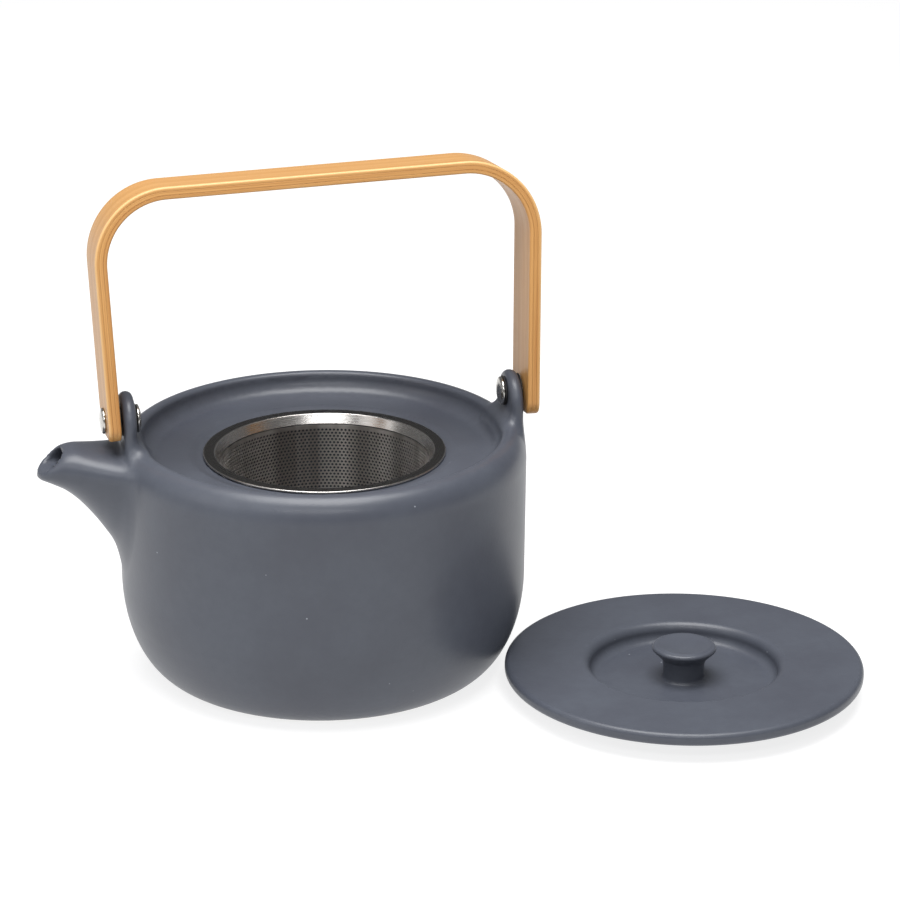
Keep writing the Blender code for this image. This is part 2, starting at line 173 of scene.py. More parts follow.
# Infuser
FLANGE_R = 44.5
FLANGE_TOP = 82.9
FLANGE_T = 0.7
COLLAR_TOP_R = 40.2
COLLAR_LOW_R = 38.2
COLLAR_T = 0.4
COLLAR_H = 3.6
BASKET_TOP = 79.0
BASKET_BOTTOM = 22.0
BASKET_TOP_R = 38.6
BASKET_BOTTOM_R = 37.0
BASKET_T = 0.4
BASE_RING_H = 6.0
BASE_RING_T = 0.5
BASE_RING_WIDE = 3.0
BASE_LAP = 2.0
WALL_TOP_BAND = 0.5
HOLE_PITCH = 1.45
HOLE_R = 0.54

# Lid
LID_R = 65.5
LID_TOP = 11.5
LID_T = 4.7
LID_EDGE = 1.9
DISH_R = 37.7
DISH_FLOOR_R = 31.0
DISH_FLOOR = 4.5
DISH_FOOT_R = 32.5
LID_HEEL = 1.2
KNOB_TOP = 17.6
KNOB_R = 11.7
KNOB_EDGE = 1.1
KNOB_HOLLOW = 0.8
KNOB_HOLLOW_R = 40.0
KNOB_UNDER_R = 9.3
KNOB_UNDER_Z = 13.3
KNOB_NECK_R = 7.5
KNOB_NECK_Z = 9.2
KNOB_FILLET = 1.6

# The spout, lugs and lug holes are worked out only past these places
SPOUT_ZONE_X = -62.0
LUG_ZONE_X = 58.0
LUG_ZONE_Z = 78.0
LUG_HOLE_ZONE_X = 60.0
LUG_HOLE_ZONE_Z = 92.0

# Mesh fineness
NET_LOW = (-111.0, -80.0, -3.6)
NET_HIGH = (80.0, 80.0, 114.0)
NET_STEP = 1.3
NET_PASSES = 3
LEAST_STEEP = 0.05
GRADIENT_STEP = 0.15
TURN_STEPS = 192
SMALL_STEPS = 64
ON_AXIS = 1e-6

# Stage: metres and watts, apart from the floor, lens and sensor, which are in millimetres
FLOOR_HALF = 4000.0
FLOOR_Z = -0.2
FLOOR_GLOW = 0.8
WORLD_STRENGTH = 0.2
LIGHT_TARGET = (0.03, 0, 0.06)
LIGHTS = (  # name, place, size, power
    ("key", (-1.2, -0.3, 0.8), (0.9, 0.9), 4.0),
    ("top", (-0.05, -0.15, 1.3), (1.1, 0.9), 29),
    ("front_strip", (-0.25, -1.0, 0.85), (1.0, 0.15), 3.8),
)
CAMERA_AT = Vector((-0.2183, -1.1319, 0.5000))
CAMERA_AIM = Vector((0.0457, -0.0108, 0.0827))
LENS = 133.7
SENSOR_WIDTH = 36.0


def middle(node):
    """The middle of a CAD node's box, in millimetres."""
    low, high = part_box(node)
    return (low + high) / 2 / MM


PIVOT_Z = middle("leg_washer_back").z
INFUSER_X = middle("infuser_rim").x
LID_AT = middle("lid")


# ---------------------------------------------------------------- outlines

def arc(centre, radii, start, end, count=16):
    """Points of an elliptical arc, with its angles in degrees."""
    angles = np.radians(np.linspace(start, end, count + 1))
    return [(centre[0] + radii[0] * cos(a), centre[1] + radii[1] * sin(a)) for a in angles]


def rounded(corners, closed=False, turn_step=10):
    """An outline whose corners, each (across, height, radius), are rounded by arcs."""
    points = []
    last = len(corners) - 1
    for i, (across, height, radius) in enumerate(corners):
        here = Vector((across, height))
        if radius == 0 or (not closed and i in (0, last)):
            points.append(tuple(here))
            continue
        back = (Vector(corners[i - 1][:2]) - here).normalized()
        ahead = (Vector(corners[(i + 1) % len(corners)][:2]) - here).normalized()
        half = back.angle(ahead) / 2
        centre = here + (back + ahead).normalized() * (radius / sin(half))
        spoke = here + back * (radius / tan(half)) - centre
        turn = pi - 2 * half
        if back.x * ahead.y - back.y * ahead.x > 0:
            turn = -turn
        count = max(2, ceil(abs(degrees(turn)) / turn_step))
        for k in range(count + 1):
            points.append(tuple(centre + Matrix.Rotation(turn * k / count, 2) @ spoke))
    return points


def smooth_curve(rows, per_span):
    """A Catmull-Rom curve through rows of numbers."""
    rows = np.array(rows, float)
    padded = np.vstack([2 * rows[0] - rows[1], rows, 2 * rows[-1] - rows[-2]])
    spans = []
    for i in range(1, len(padded) - 2):
        before, start, end, after = padded[i - 1:i + 3]
        t = np.linspace(0, 1, per_span, endpoint=False)[:, None]
        spans.append(0.5 * (2 * start + (end - before) * t + (2 * before - 5 * start + 4 * end - after) * t**2
                            + (3 * start - before - 3 * end + after) * t**3))
    return np.vstack(spans + [rows[-1:]])


# ---------------------------------------------------------------- meshes

def add_mesh(name, points, faces, material):
    """A smooth-shaded mesh object from points in millimetres."""
    mesh = bpy.data.meshes.new(name)
    mesh.from_pydata((np.asarray(points, float) * MM).tolist(), [], faces)
    mesh.shade_smooth()
    obj = bpy.data.objects.new(name, mesh)
    bpy.context.scene.collection.objects.link(obj)
    if material:
        mesh.materials.append(material)
    return obj


def face_outward(obj):
    work = bmesh.new()
    work.from_mesh(obj.data)
    bmesh.ops.recalc_face_normals(work, faces=work.faces)
    work.to_mesh(obj.data)
    work.free()


def keep_flats_flat(obj):
    """Shade wide faces as flat and let the narrow rounded edges carry the bend."""
    modifier = obj.modifiers.new("Weighted normals", "WEIGHTED_NORMAL")
    modifier.weight = 80


def settle(obj, body, slot, *nodes):
    """Tie a finished piece to its CAD body and hide the nodes that it stands for; the material slot is not
    used.
    """
    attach(obj, body)
    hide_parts(*nodes)


def add_attribute(obj, name, values):
    """Store one vector a vertex, in metres, for a material to read."""
    attribute = obj.data.attributes.new(name, "FLOAT_VECTOR", "POINT")
    attribute.data.foreach_set("vector", (np.asarray(values, np.float32) * MM).ravel())


def lathe(profile, steps, closed=False):
    """Points and faces of a profile of (radius, height) turned about the Z axis."""
    points = []
    faces = []
    rings = []
    for r, z in profile:
        count = 1 if r < ON_AXIS else steps
        rings.append(range(len(points), len(points) + count))
        for k in range(count):
            angle = 2 * pi * k / steps
            points.append((r * cos(angle), r * sin(angle), z))
    pairs = list(zip(rings, rings[1:]))
    if closed:
        pairs.append((rings[-1], rings[0]))
    for upper, lower in pairs:
        for k in range(steps):
            n = (k + 1) % steps
            if len(upper) == 1:
                faces.append((upper[0], lower[k], lower[n]))
            elif len(lower) == 1:
                faces.append((upper[k], lower[0], upper[n]))
            else:
                faces.append((upper[k], lower[k], lower[n], upper[n]))
    return points, faces


def add_turned(name, profile, material, matrix, steps=TURN_STEPS, closed=False):
    """A turned piece, put in place by its matrix."""
    points, faces = lathe(profile, steps, closed)
    obj = add_mesh(name, [matrix @ Vector(p) for p in points], faces, material)
    face_outward(obj)
    keep_flats_flat(obj)
    return obj


# ---------------------------------------------------------------- distance fields for the pot

def outline_distance(across, height, outline):
    """Distance from points of a plane to a closed outline, negative inside."""
    best = np.full(across.shape, 1e12)
    inside = np.zeros(across.shape, bool)
    for (ax, ay), (bx, by) in zip(outline, np.roll(outline, -1, axis=0)):
        ex, ey = bx - ax, by - ay
        length = ex * ex + ey * ey
        if length < 1e-12:
            continue
        rx, ry = across - ax, height - ay
        t = np.clip((rx * ex + ry * ey) / length, 0, 1)
        best = np.minimum(best, (rx - t * ex) ** 2 + (ry - t * ey) ** 2)
        if abs(ey) > 1e-12:
            inside ^= ((ay > height) != (by > height)) & (rx < ex * ry / ey)
    return np.where(inside, -1.0, 1.0) * np.sqrt(best)


def smooth_min(a, b, width):
    share = np.maximum(width - np.abs(a - b), 0) / width
    return np.minimum(a, b) - share * share * width / 4


def smooth_max(a, b, width):
    return -smooth_min(-a, -b, width)


def sample_table(table, low, step, across, height):
    """Bilinear reading of a table of values over a plane."""
    u = np.clip((across - low[0]) / step, 0, table.shape[0] - 1.001)
    v = np.clip((height - low[1]) / step, 0, table.shape[1] - 1.001)
    i, j = u.astype(int), v.astype(int)
    fu, fv = u - i, v - j
    return ((1 - fu) * (1 - fv) * table[i, j] + fu * (1 - fv) * table[i + 1, j]
            + (1 - fu) * fv * table[i, j + 1] + fu * fv * table[i + 1, j + 1])


class TurnedField:
    """Distance to a turned shape: exact, or quick from a table for the first coarse pass."""

    LOW = (0.0, -6.0)
    STEP = 0.4
    SIZE = (300, 310)

    def __init__(self, outline):
        self.outline = np.array(outline)
        across = self.LOW[0] + self.STEP * np.arange(self.SIZE[0])
        height = self.LOW[1] + self.STEP * np.arange(self.SIZE[1])
        grid = np.meshgrid(across, height, indexing="ij")
        self.table = outline_distance(grid[0], grid[1], self.outline)

    def __call__(self, r, z, exact):
        if exact:
            return outline_distance(r, z, self.outline)
        return sample_table(self.table, self.LOW, self.STEP, r, z)


class LoftField:
    """Distance to a spout of egg-shaped sections, narrow below, that fan out in the X-Z plane."""

    LOW = (-118.0, 10.0)
    STEP = 0.25
    SIZE = (260, 380)

    def __init__(self, sections, cap):
        rows = smooth_curve(sections, 24)
        top, low, half_width = rows[:, 0:2], rows[:, 2:4], rows[:, 4]
        height = np.linalg.norm(top - low, axis=1)
        cap_height = np.minimum(cap, height / 2)
        axis = (top - low) / height[:, None]
        widest = top - axis * cap_height[:, None]
        x = self.LOW[0] + self.STEP * np.arange(self.SIZE[0])
        z = self.LOW[1] + self.STEP * np.arange(self.SIZE[1])
        gx, gz = np.meshgrid(x, z, indexing="ij")
        place = np.zeros(gx.shape)
        done = np.zeros(gx.shape, bool)
        ahead = None
        for i in range(len(rows)):
            side = axis[i, 0] * (gz - widest[i, 1]) - axis[i, 1] * (gx - widest[i, 0])
            if ahead is not None:
                crossed = (ahead >= 0) & (side < 0) & ~done
                share = np.divide(ahead, ahead - side, out=np.zeros_like(side), where=ahead != side)
                place[crossed] = i - 1 + share[crossed]
                done |= crossed
            ahead = side
        place[~done & (ahead >= 0)] = len(rows) - 1
        steps = np.arange(len(rows))

        def at(values):
            return np.interp(place, steps, values)

        rise = (gx - at(widest[:, 0])) * at(axis[:, 0]) + (gz - at(widest[:, 1])) * at(axis[:, 1])
        self.tables = [rise, at(cap_height), at(height - cap_height), at(half_width)]

    def __call__(self, x, y, z):
        rise, above, below, width = (sample_table(t, self.LOW, self.STEP, x, z) for t in self.tables)
        reach = np.where(rise > 0, above, below)
        power = np.where(rise > 0, SPOUT_CAP_POWER, np.interp(x, SPOUT_KEEL_X, SPOUT_KEEL_POWERS))
        across = np.abs(y) / width
        along = np.abs(rise) / reach
        level = np.maximum(across**power + along**power, 1e-9) ** (1 / power)
        lean = np.hypot(across ** (power - 1) / width, along ** (power - 1) / reach)
        slope = lean * level ** (1 - power)
        return (level - 1) / np.maximum(slope, 1 / np.maximum(width, reach))


def body_outline():
    """The pot without its mouth: seat, rim, wall and base, closed past the axis."""
    outline = rounded([
        (PAST_AXIS, REBATE_Z, 0),
        (REBATE_R - REBATE_HALF, REBATE_Z, REBATE_BEND_R),
        (REBATE_R + REBATE_HALF, SEAT_Z, REBATE_BEND_R),
        (SEAT_R - COVE_WIDE, SEAT_Z, 0),
    ])
    lip = CREST_R - SEAT_R
    cove_tall = CREST_Z - lip - SEAT_Z
    outline += arc((SEAT_R - COVE_WIDE, SEAT_Z + cove_tall), (COVE_WIDE, cove_tall), -90, 0, 14)[1:]
    outline += arc((CREST_R, CREST_Z - lip), (lip, lip), 180, 90, 14)[1:]
    outline += arc((CREST_R, SHOULDER_Z), (BODY_R - CREST_R, CREST_Z - SHOULDER_Z), 90, 0, 24)[1:]
    outline += arc((FOOT_R, CORNER_Z), (BODY_R_LOW - FOOT_R, CORNER_Z), 0, -90, 32)
    return outline + [(PAST_AXIS, 0)]


def cavity_outline():
    inner = BODY_R - WALL
    outline = [(PAST_AXIS, MOUTH_CUT_TOP), (MOUTH_R, MOUTH_CUT_TOP), (MOUTH_R, DECK_UNDER_Z)]
    outline += arc((inner - HAUNCH_R, DECK_UNDER_Z - HAUNCH_R), (HAUNCH_R, HAUNCH_R), 90, 0, 8)
    outline += arc((FOOT_R - WALL, CORNER_Z), (inner - FOOT_R + WALL, CORNER_Z - BASE_THICK), 0, -90, 20)
    return outline + [(PAST_AXIS, BASE_THICK)]


class PotField:
    """Distance to the whole fired body: turned pot, spout and lugs melted together, then hollowed."""

    def __init__(self):
        self.body = TurnedField(body_outline())
        self.cavity = TurnedField(cavity_outline())
        self.spout = LoftField(SPOUT, SPOUT_CAP)
        along = np.array(MOUTH_LOW) - np.array(MOUTH_TOP)
        along /= np.linalg.norm(along)
        self.mouth_out = np.array((along[1], -along[0]))

    def lug(self, x, y, z, side):
        centre_z = LUG_TOPS[side] - LUG_ARCH_R
        flat = np.hypot(y, np.maximum(z - centre_z, 0)) - LUG_ARCH_R
        flat = np.maximum(flat, LUG_LOW - z) + LUG_EDGE_R
        share = np.clip((LUG_SPREAD_TOP - z) / (LUG_SPREAD_TOP - LUG_SPREAD_LOW), 0, 1)
        inner = LUG_IN - LUG_SPREAD * share**2
        thick = np.abs(x * side - (inner + LUG_OUT) / 2) - (LUG_OUT - inner) / 2 + LUG_EDGE_R
        outside = np.hypot(np.maximum(flat, 0), np.maximum(thick, 0))
        return np.minimum(np.maximum(flat, thick), 0) + outside - LUG_EDGE_R

    def bore(self, x, y, z, spout):
        """The spout's channel: the spout drawn in by its wall, under a roof that drops into the pot."""
        wall = np.interp(x, SPOUT_WALL_X, (SPOUT_WALL_MOUTH, SPOUT_WALL_ROOT))
        roof = z - BORE_ROOF[1] + BORE_ROOF_RISE * (x - BORE_ROOF[0])
        bore = smooth_max(spout + wall, roof / sqrt(1 + BORE_ROOF_RISE**2), BORE_CORNER)
        bore = smooth_max(bore, np.interp(x, BORE_FLOOR_X, BORE_FLOOR_Z) - z, BORE_CORNER)
        return np.maximum(np.maximum(bore, np.abs(y) - BORE_HALF_W), x - BORE_START_X)

    def __call__(self, points, exact):
        x, y, z = points[:, 0], points[:, 1], points[:, 2]
        r = np.hypot(x, y)
        shape = self.body(r, z, exact)
        at_spout = x < SPOUT_ZONE_X
        px, py, pz, pr = x[at_spout], y[at_spout], z[at_spout], r[at_spout]
        spout = self.spout(px, py, pz)
        bore = self.bore(px, py, pz, spout)
        mouth = (px - MOUTH_TOP[0]) * self.mouth_out[0] + (pz - MOUTH_TOP[1]) * self.mouth_out[1]
        spout = smooth_max(spout, mouth - MOUTH_PROUD, MOUTH_EDGE)
        spout = smooth_max(spout, SPOUT_START_R - pr, SPOUT_START_EDGE)
        shape[at_spout] = smooth_min(shape[at_spout], spout, SPOUT_FILLET)
        for side in LUG_TOPS:
            at_lug = (x * side > LUG_ZONE_X) & (z > LUG_ZONE_Z)
            lug = self.lug(x[at_lug], y[at_lug], z[at_lug], side)
            beyond = x[at_lug] * side - LUG_OUT
            fillet = np.interp(beyond, LUG_FILLET_CHANGE, (LUG_FILLET, LUG_FILLET_OUTSIDE))
            shape[at_lug] = smooth_min(shape[at_lug], lug, fillet)
        shape = smooth_max(shape, -self.cavity(r, z, exact), CAVITY_EDGE)
        shape[at_spout] = smooth_max(shape[at_spout], -bore, BORE_EDGE)
        at_hole = (np.abs(x) > LUG_HOLE_ZONE_X) & (z > LUG_HOLE_ZONE_Z)
        hole = np.hypot(y[at_hole], z[at_hole] - PIVOT_Z) - LUG_HOLE_R
        shape[at_hole] = smooth_max(shape[at_hole], -hole, LUG_HOLE_EDGE)
        return shape

    def gradient(self, points):
        slopes = []
        for axis in range(3):
            shift = np.zeros(3)
            shift[axis] = GRADIENT_STEP
            rise = self(points + shift, True) - self(points - shift, True)
            slopes.append(rise / (2 * GRADIENT_STEP))
        return np.stack(slopes, axis=1)


def surface_net(values, origin, step):
    """Points and four-sided faces of the zero surface of a grid of values."""
    corners = [(i, j, k) for i in (0, 1) for j in (0, 1) for k in (0, 1)]
    inside = values < 0
    size = [n - 1 for n in values.shape]
    count = sum(inside[i:i + size[0], j:j + size[1], k:k + size[2]].astype(np.int8) for i, j, k in corners)
    active = (count > 0) & (count < 8)
    cells = np.argwhere(active)
    number = np.full(active.shape, -1)
    number[active] = np.arange(len(cells))
    total = np.zeros((len(cells), 3))
    hits = np.zeros(len(cells))
    for a in corners:
        for b in corners:
            if sum(q - p for p, q in zip(a, b)) != 1 or sum(p != q for p, q in zip(a, b)) != 1:
                continue
            va = values[tuple((cells + a).T)]
            vb = values[tuple((cells + b).T)]
            cross = (va < 0) != (vb < 0)
            t = np.zeros(len(cells))
            t[cross] = va[cross] / (va[cross] - vb[cross])
            total[cross] += (np.array(a) + t[:, None] * (np.array(b) - np.array(a)))[cross]
            hits += cross
    points = origin + step * (cells + total / hits[:, None])
    faces = []
    for axis in range(3):
        u, v = [a for a in range(3) if a != axis]
        first = np.moveaxis(inside, axis, 0)[:-1]
        second = np.moveaxis(inside, axis, 0)[1:]
        change = np.argwhere(np.moveaxis(first != second, 0, axis))
        change = change[(change[:, u] > 0) & (change[:, v] > 0)]
        ring = []
        for du, dv in ((0, 0), (1, 0), (1, 1), (0, 1)):
            cell = change.copy()
            cell[:, u] -= du
            cell[:, v] -= dv
            ring.append(number[tuple(cell.T)])
        quads = np.stack(ring, axis=1)
        flip = inside[tuple(change.T)] == (axis == 1)
        quads[flip] = quads[flip, ::-1]
        faces.append(quads)
    return points, np.vstack(faces)


def make_pot(material):
    """The fired body as one smooth skin."""
    field = PotField()
    low = np.array(NET_LOW)
    count = np.ceil((np.array(NET_HIGH) - low) / NET_STEP).astype(int) + 1
    lines = [low[a] + NET_STEP * np.arange(count[a]) for a in range(3)]
    grid = np.stack(np.meshgrid(*lines, indexing="ij"), axis=-1).reshape(-1, 3)
    values = field(grid, False).reshape(count)
    points, faces = surface_net(values, low, NET_STEP)
    for _ in range(NET_PASSES):
        slope = field.gradient(points)
        steep = np.maximum((slope**2).sum(axis=1), LEAST_STEEP)
        move = slope * (field(points, True) / steep)[:, None]
        points -= np.clip(move, -NET_STEP / 2, NET_STEP / 2)
    points[:, 2] = np.maximum(points[:, 2], 0)
    slope = field.gradient(points)
    normals = slope / np.maximum(np.linalg.norm(slope, axis=1), 1e-6)[:, None]
    obj = add_mesh("teapot_body", points, faces.tolist(), material)
    obj.data.normals_split_custom_set_from_vertices(normals.tolist())
    settle(obj, "pot", "glaze", "pot_body")


# ---------------------------------------------------------------- lid

def make_lid(material):
    under = LID_TOP - LID_T
    profile = [(0, KNOB_TOP - KNOB_HOLLOW)]
    bowl = (KNOB_HOLLOW_R, KNOB_HOLLOW_R)
    profile += arc((0, KNOB_TOP - KNOB_HOLLOW + KNOB_HOLLOW_R), bowl, -88.5, -75.6, 10)
    profile += arc((KNOB_R - KNOB_EDGE, KNOB_TOP - KNOB_EDGE), (KNOB_EDGE, KNOB_EDGE), 100, -30, 12)
    flare = (KNOB_UNDER_R - KNOB_NECK_R, KNOB_UNDER_Z - KNOB_NECK_Z)
    profile += arc((KNOB_UNDER_R, KNOB_NECK_Z), flare, 115, 180, 8)
    foot = (KNOB_FILLET, KNOB_FILLET)
    profile += arc((KNOB_NECK_R + KNOB_FILLET, DISH_FLOOR + KNOB_FILLET), foot, 180, 270, 8)
    half = ((DISH_R - DISH_FLOOR_R) / 2, (LID_TOP - DISH_FLOOR) / 2)
    profile += arc((DISH_FLOOR_R, DISH_FLOOR + half[1]), half, -90, 0, 12)
    profile += arc((DISH_R, LID_TOP - half[1]), half, 180, 90, 12)[1:]
    edge = (LID_EDGE, LID_EDGE)
    profile += arc((LID_R - LID_EDGE, LID_TOP - LID_EDGE), edge, 90, 0, 10)
    profile += arc((LID_R - LID_EDGE, under + LID_EDGE), edge, 0, -90, 10)
    profile += rounded([
        (LID_R - LID_EDGE, under, 0),
        (DISH_R + LID_EDGE, under, 1.5),
        (DISH_FOOT_R + 2 * LID_HEEL, LID_HEEL, 1.5),
        (DISH_FOOT_R, 0, 0.8),
        (0, 0, 0),
    ])[1:]
    place = Matrix.Translation((LID_AT.x, LID_AT.y, 0))
    obj = add_turned("teapot_lid", profile, material, place)
    settle(obj, "lid", "glaze", "lid")


# ---------------------------------------------------------------- bail

def pivot_matrix():
    """From the bail's own upright frame, about its pivot, to the row frame."""
    return Matrix.Translation((0, 0, PIVOT_Z)) @ Matrix.Rotation(-BAIL_LEAN, 4, "X")


def bail_stations():
    """Stations along the strip's outer face: (point, inward normal, way along, way to the nearer end)."""
    halves = []
    for side in (-1, 1):
        up = Vector((side * sin(BAIL_SPLAY), cos(BAIL_SPLAY)))
        inward = Vector((-side * cos(BAIL_SPLAY), sin(BAIL_SPLAY)))
        pivot = Vector((side * BAIL_HALF_SPAN, 0))
        centre_z = BAIL_TOP + side * BAIL_TOP_RISE - BAIL_CORNER_R
        centre_x = (centre_z * inward.y - pivot.dot(inward) - BAIL_CORNER_R) / -inward.x
        centre = Vector((centre_x, centre_z))
        end = pivot - up * (BELOW_PIVOT[side] / up.y)
        leg = (centre - inward * BAIL_CORNER_R - end).length
        ways = [BAIL_END_R * (1 - cos(radians(a))) for a in range(0, 91, 9)]
        ways += list(np.linspace(BAIL_END_R, leg, LEG_STEPS)[1:])
        stations = [(end + up * way, inward) for way in ways]
        sweep = radians(90) + BAIL_SPLAY
        for i in range(1, CORNER_STEPS + 1):
            angle = -BAIL_SPLAY + sweep * i / CORNER_STEPS
            outward = Vector((side * cos(angle), sin(angle)))
            stations.append((centre + outward * BAIL_CORNER_R, -outward))
        halves.append(stations)
    (left_point, left_normal), (right_point, right_normal) = halves[0][-1], halves[1][-1]
    bar = [(left_point.lerp(right_point, t), left_normal.lerp(right_normal, t).normalized())
           for t in np.linspace(0, 1, BAR_STEPS + 1)[1:-1]]
    stations = halves[0] + bar + halves[1][::-1]
    ways = [0.0]
    for (a, _), (b, _) in zip(stations, stations[1:]):
        ways.append(ways[-1] + (b - a).length)
    return [(p, n, way, min(way, ways[-1] - way)) for (p, n), way in zip(stations, ways)]


def inset(way_in, radius):
    """How far a rounded corner draws an edge in, way_in from the end."""
    if way_in >= radius:
        return 0.0
    return radius - sqrt(max(radius**2 - (radius - way_in) ** 2, 0))


def make_ply(name, index, stations, material):
    """One bamboo ply: a rounded strip swept along the bail."""
    share = STRIP_T / len(PLIES)
    points, faces, coords = [], [], []
    is_outer = index == 0
    is_inner = index == len(PLIES) - 1
    size = 0
    for point, inward, way, to_end in stations:
        near = index * share + (0 if is_outer else GLUE_LINE / 2)
        far = (index + 1) * share - (0 if is_inner else GLUE_LINE / 2)
        if is_outer:
            near += inset(to_end, STRIP_END_EDGE_R)
        if is_inner:
            far -= inset(to_end, STRIP_EDGE_R)
        half = STRIP_W / 2 - inset(to_end, BAIL_END_R)
        outer_r = min(STRIP_EDGE_R if is_outer else PLY_EDGE_R, (far - near) / THICK_TO_EDGE)
        inner_r = min(STRIP_EDGE_R if is_inner else PLY_EDGE_R, (far - near) / THICK_TO_EDGE)
        section = rounded([(-half, near, outer_r), (half, near, outer_r), (half, far, inner_r),
                           (-half, far, inner_r)], closed=True, turn_step=22.5)
        size = len(section)
        for across, depth in section:
            spot = point + inward * depth
            points.append((spot.x, across, spot.y))
            coords.append((way, across, depth))
    for s in range(len(stations) - 1):
        for k in range(size):
            n = (k + 1) % size
            a = s * size
            faces.append((a + k, a + n, a + size + n, a + size + k))
    faces.append(tuple(range(size)))
    faces.append(tuple(range(len(points) - size, len(points)))[::-1])
    matrix = pivot_matrix()
    points = [matrix @ Vector(p) for p in points]
    obj = add_mesh(name.replace("handle", "bail"), points, faces, material)
    add_attribute(obj, "grain", coords)
    face_outward(obj)
    drill(obj, matrix)
    keep_flats_flat(obj)
    settle(obj, "bail", "bamboo", name)


def drill(obj, matrix):
    """Cut the two screw holes and keep only the drilled mesh."""
    points, faces = lathe([(STRIP_HOLE_R, DRILL_REACH), (STRIP_HOLE_R, -DRILL_REACH)], DRILL_SIDES)
    faces += [tuple(range(DRILL_SIDES))[::-1], tuple(range(DRILL_SIDES, 2 * DRILL_SIDES))]
    turn = matrix @ Matrix.Rotation(pi / 2, 4, "Y")
    cutter = add_mesh("drill", [turn @ Vector(p) for p in points], faces, None)
    face_outward(cutter)
    modifier = obj.modifiers.new("Drill", "BOOLEAN")
    modifier.operation = "DIFFERENCE"
    modifier.object = cutter
    graph = bpy.context.evaluated_depsgraph_get()
    drilled = bpy.data.meshes.new_from_object(obj.evaluated_get(graph), preserve_all_data_layers=True,
                                              depsgraph=graph)
    obj.modifiers.clear()
    obj.data = drilled
    bpy.data.objects.remove(cutter)


def side_matrix(side, leaning):
    """From a turned piece's own axis to the bail's pivot axis, on one side of the pot."""
    turn = Matrix.Rotation(side * pi / 2, 4, "Y")
    if leaning:
        return pivot_matrix() @ turn
    return Matrix.Translation((0, 0, PIVOT_Z)) @ turn


def make_screw(side, where, material):
    head = BAIL_HALF_SPAN + SCREW_HEAD_R * sin(BAIL_SPLAY)
    rim = head + HEAD_RIM
    profile = arc((0, rim), (SCREW_HEAD_R, SCREW_HEAD_T - HEAD_RIM), 90, 8, 14)
    profile += rounded([(SCREW_HEAD_R, rim, 0), (SCREW_HEAD_R, head, 0.25), (SHANK_R, head, 0)])[1:]
    profile += [(SHANK_R, SHANK_TIP), (0, SHANK_TIP)]
    obj = add_turned("bail_screw_" + where, profile, material, side_matrix(side, True), SMALL_STEPS)
    settle(obj, "bail", "screw_steel", "pivot_screw_" + where)


def make_post(side, where, material):
    washer_top = LUG_IN - GAP
    head = washer_top - POST_WASHER_T - GAP
    bore = SHANK_R + GAP
    floor = SHANK_TIP - GAP
    end = LUG_OUT + BARREL_PROUD
    rim = head - HEAD_RIM
    profile = [(0, floor), (bore, floor), (bore, end), (BARREL_R, end), (BARREL_R, head)]
    profile += rounded([(BARREL_R, head, 0), (POST_HEAD_R, head, 0.2), (POST_HEAD_R, rim, 0)])[1:]
    profile += arc((0, rim), (POST_HEAD_R, POST_HEAD_T - HEAD_RIM), -8, -90, 14)
    obj = add_turned("bail_post_" + where, profile, material, side_matrix(side, True), SMALL_STEPS)
    settle(obj, "bail", "screw_steel", "pivot_post_" + where)


def make_washer(name, node, side, outer, low, thick, material):
    edge = thick * WASHER_EDGE_SHARE
    inner = BARREL_R + GAP
    profile = rounded([(inner, low + thick, edge), (outer, low + thick, edge), (outer, low, edge),
                       (inner, low, edge)], closed=True, turn_step=30)
    obj = add_turned(name, profile, material, side_matrix(side, False), SMALL_STEPS, closed=True)
    settle(obj, "pot", "washer_rubber", node)


# ---------------------------------------------------------------- infuser

def basket_radius(z):
    share = (z - BASKET_BOTTOM) / (BASKET_TOP - BASKET_BOTTOM)
    return BASKET_BOTTOM_R + (BASKET_TOP_R - BASKET_BOTTOM_R) * share


def infuser_place():
    return Matrix.Translation((INFUSER_X, 0, 0))


def make_rim(material):
    """A flat flange with a collar sloping down and in from it; its material paints the collar's reflection
    and the flange's shade.
    """
    under = FLANGE_TOP - FLANGE_T
    low = FLANGE_TOP - COLLAR_H
    profile = rounded([
        (COLLAR_TOP_R, FLANGE_TOP, 0.7),
        (FLANGE_R, FLANGE_TOP, 0.33),
        (FLANGE_R, under, 0.2),
        (COLLAR_TOP_R + 2 * COLLAR_T, under, 0.3),
        (COLLAR_LOW_R + COLLAR_T, low, 0.15),
        (COLLAR_LOW_R, low, 0.15),
    ], closed=True)
    obj = add_turned("basket_rim", profile, material, infuser_place(), closed=True)
    settle(obj, "infuser", "rim_steel", "infuser_rim")


def make_base_ring(material, wall_low):
    outer = basket_radius(wall_low) + GAP + BASE_RING_T
    top = BASKET_BOTTOM + BASE_RING_H
    inner = BASKET_BOTTOM_R - BASE_RING_WIDE
    floor = BASKET_BOTTOM + BASE_RING_T
    profile = rounded([
        (outer - BASE_RING_T, top, 0.1),
        (outer, top, 0.2),
        (outer, BASKET_BOTTOM, 1.0),
        (inner, BASKET_BOTTOM, 0.2),
        (inner, floor, 0.1),
        (outer - BASE_RING_T, floor, 0.5),
    ], closed=True)
    obj = add_turned("basket_base_ring", profile, material, infuser_place(), closed=True)
    settle(obj, "infuser", "basket_steel", "infuser_base_ring")


def hole_ring(centre_u, centre_v):
    """The six corners of a hole, matching the six corners of its cell."""
    turns = [radians(a) for a in range(0, 360, 60)]
    return [(centre_u + HOLE_R * sin(a), centre_v + HOLE_R * cos(a)) for a in turns]


